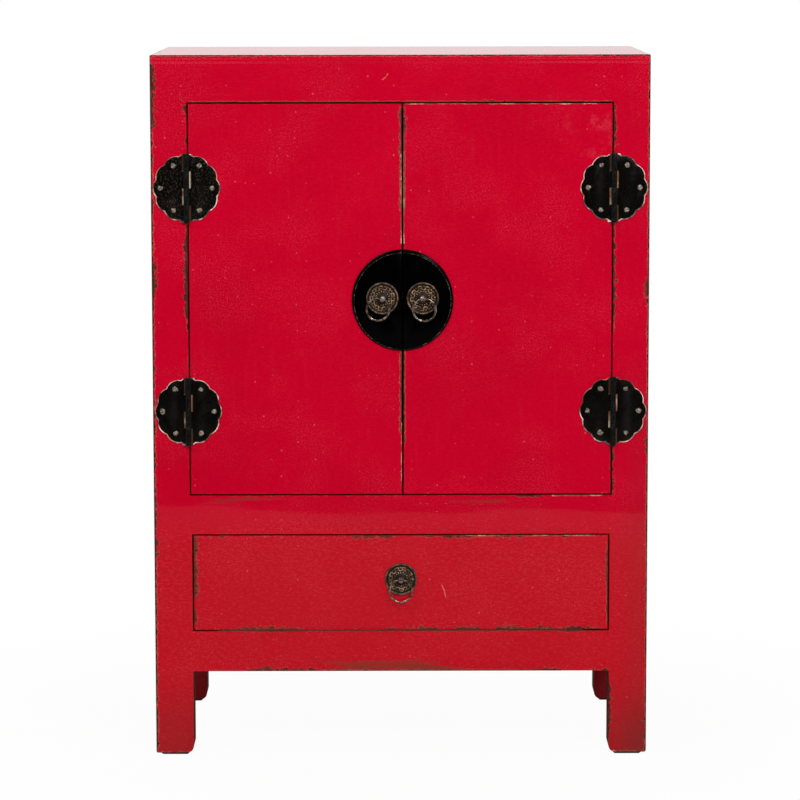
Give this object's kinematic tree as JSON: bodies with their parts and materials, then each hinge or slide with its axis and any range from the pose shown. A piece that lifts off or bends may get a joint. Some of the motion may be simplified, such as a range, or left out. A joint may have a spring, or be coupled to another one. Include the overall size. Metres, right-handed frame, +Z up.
{
  "type": "two-door cabinet with drawer",
  "caption": "Floor-standing red lacquered cabinet with flush doors on round scalloped hinges, a split round lock plate with ring pulls, and a flush drawer below.",
  "frame": {"origin": "on the floor under the glides, in the middle of the overall box with the pulls included", "axes": "+Z up, the front with the doors and drawer faces -Y, +X to the right seen from the front"},
  "size_m": [0.6, 0.3748, 0.855],
  "materials": {
    "red_lacquer": "worn gloss lacquer",
    "bare_wood": "plain oiled wood",
    "hinge_metal": "dark aged plate with worn copper edges",
    "black_plate": "matt black",
    "brass": "dull aged brass",
    "bronze": "dark aged cast bronze",
    "glide": "matt black"
  },
  "bodies": {
    "case": {"back_panel": "red_lacquer", "cupboard_floor": "bare_wood", "door_stops": "bare_wood", "drawer_guides": "bare_wood", "drawer_runners": "bare_wood", "drawer_stops": "bare_wood", "floor_bearers": "bare_wood", "foot_glides": "glide", "frame_hinge_nails": "brass", "front_bottom_rail": "red_lacquer", "front_middle_rail": "red_lacquer", "front_top_rail": "red_lacquer", "hinge_lower_left_frame_leaf": "hinge_metal", "hinge_lower_right_frame_leaf": "hinge_metal", "hinge_pins": "brass", "hinge_upper_left_frame_leaf": "hinge_metal", "hinge_upper_right_frame_leaf": "hinge_metal", "post_front_left": "red_lacquer", "post_front_right": "red_lacquer", "post_rear_left": "red_lacquer", "post_rear_right": "red_lacquer", "rear_bottom_rail": "red_lacquer", "rear_middle_rail": "bare_wood", "rear_top_rail": "red_lacquer", "shelf": "bare_wood", "shelf_battens": "bare_wood", "side_bottom_rail_left": "red_lacquer", "side_bottom_rail_right": "red_lacquer", "side_panel_left": "red_lacquer", "side_panel_right": "red_lacquer", "side_top_rail_left": "red_lacquer", "side_top_rail_right": "red_lacquer", "top_board": "red_lacquer"},
    "left_door": {"door_battens_left": "bare_wood", "door_hinge_nails_left": "brass", "door_left": "red_lacquer", "hinge_lower_left_door_leaf": "hinge_metal", "hinge_upper_left_door_leaf": "hinge_metal", "lock_plate_left": "black_plate", "pull_eye_left": "bronze", "pull_plate_left": "bronze"},
    "right_door": {"door_battens_right": "bare_wood", "door_hinge_nails_right": "brass", "door_right": "red_lacquer", "hinge_lower_right_door_leaf": "hinge_metal", "hinge_upper_right_door_leaf": "hinge_metal", "lock_plate_right": "black_plate", "pull_eye_right": "bronze", "pull_plate_right": "bronze"},
    "drawer": {"drawer_back": "bare_wood", "drawer_bottom": "bare_wood", "drawer_front": "red_lacquer", "drawer_side_left": "bare_wood", "drawer_side_right": "bare_wood", "pull_eye_drawer": "bronze", "pull_plate_drawer": "bronze"},
    "left_ring": {"pull_ring_left": "bronze"},
    "right_ring": {"pull_ring_right": "bronze"},
    "drawer_ring": {"pull_ring_drawer": "bronze"}
  },
  "joints": [
    {"name": "left_door_hinge", "type": "hinge", "parent": "case", "child": "left_door", "pos_m": [-0.257, -0.1763, 0.56], "axis": [0, 0, -1], "range_deg": [0, 170]},
    {"name": "right_door_hinge", "type": "hinge", "parent": "case", "child": "right_door", "pos_m": [0.257, -0.1763, 0.56], "axis": [0, 0, 1], "range_deg": [0, 170]},
    {"name": "drawer_slide", "type": "slide", "parent": "case", "child": "drawer", "axis": [0, -1, 0], "range_m": [0, 0.24]},
    {"name": "left_ring_swing", "type": "hinge", "parent": "left_door", "child": "left_ring", "pos_m": [-0.0219, -0.1832, 0.56275], "axis": [-0.9239, 0, 0.3827], "range_deg": [-8, 165]},
    {"name": "right_ring_swing", "type": "hinge", "parent": "right_door", "child": "right_ring", "pos_m": [0.0269, -0.1832, 0.56275], "axis": [-0.9903, 0, -0.1392], "range_deg": [-8, 165]},
    {"name": "drawer_ring_swing", "type": "hinge", "parent": "drawer", "child": "drawer_ring", "pos_m": [0, -0.1802, 0.2189], "axis": [-1, 0, 0], "range_deg": [-8, 165]}
  ]
}
